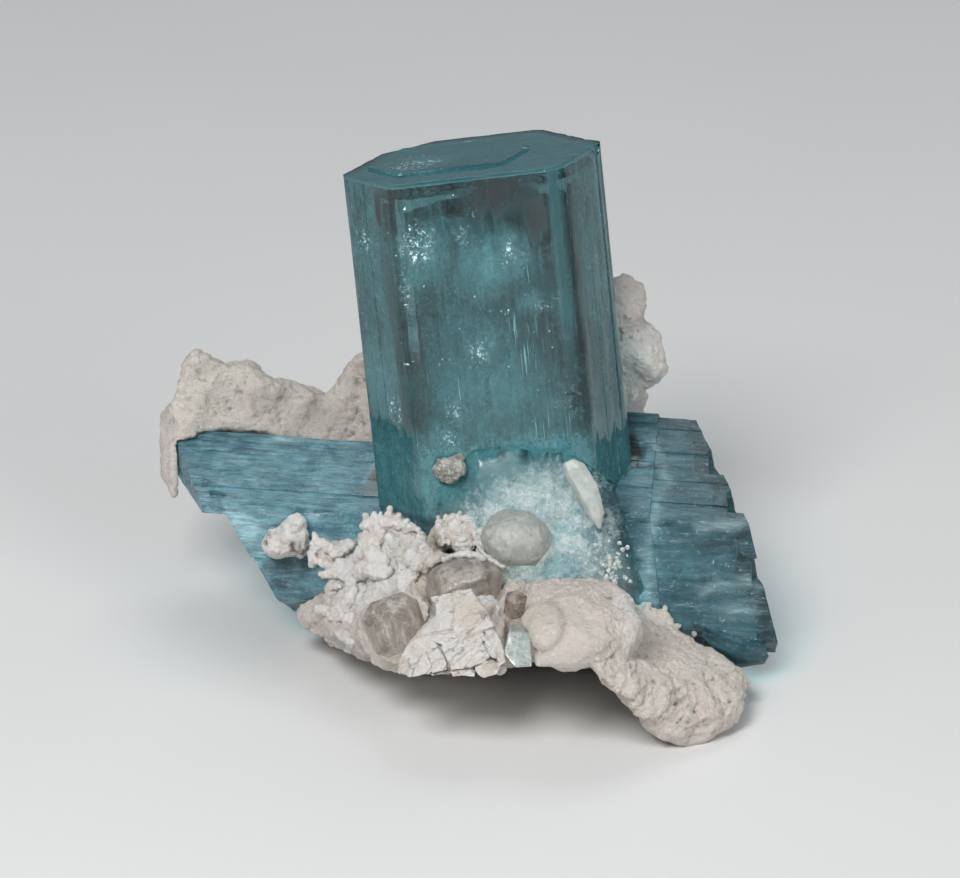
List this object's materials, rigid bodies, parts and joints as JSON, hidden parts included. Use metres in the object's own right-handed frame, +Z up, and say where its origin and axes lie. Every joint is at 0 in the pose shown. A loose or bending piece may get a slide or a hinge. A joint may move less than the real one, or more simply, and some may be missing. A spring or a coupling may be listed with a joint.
{
  "type": "aquamarine crystal specimen",
  "caption": "Blue-green aquamarine prisms grown on a pale feldspar matrix with quartz, a loose mineral specimen that stands on its own rock.",
  "frame": {"origin": "centre of the bounding box's footprint, on the plane the specimen rests on", "axes": "+Z up, +X to the right along the lying prisms as seen from the front, -Y towards the front where the quartz and the front foot are"},
  "size_m": [0.0628, 0.0536, 0.0523],
  "materials": {
    "aquamarine": "polished",
    "pale_aquamarine": "satin",
    "feldspar": "matte",
    "smoky_quartz": "satin",
    "pale_quartz": "satin",
    "crust": "matte"
  },
  "bodies": {
    "root": {"aquamarine_crystals": "aquamarine", "aquamarine_sliver": "pale_aquamarine", "feldspar_matrix": "feldspar", "feldspar_tuft": "feldspar", "feldspar_blade": "feldspar", "smoky_quartz_crystal": "smoky_quartz", "smoky_quartz_chunk": "smoky_quartz", "pale_quartz_grain": "pale_quartz", "brown_quartz_grain": "smoky_quartz", "grey_crust": "crust"}
  },
  "joints": []
}
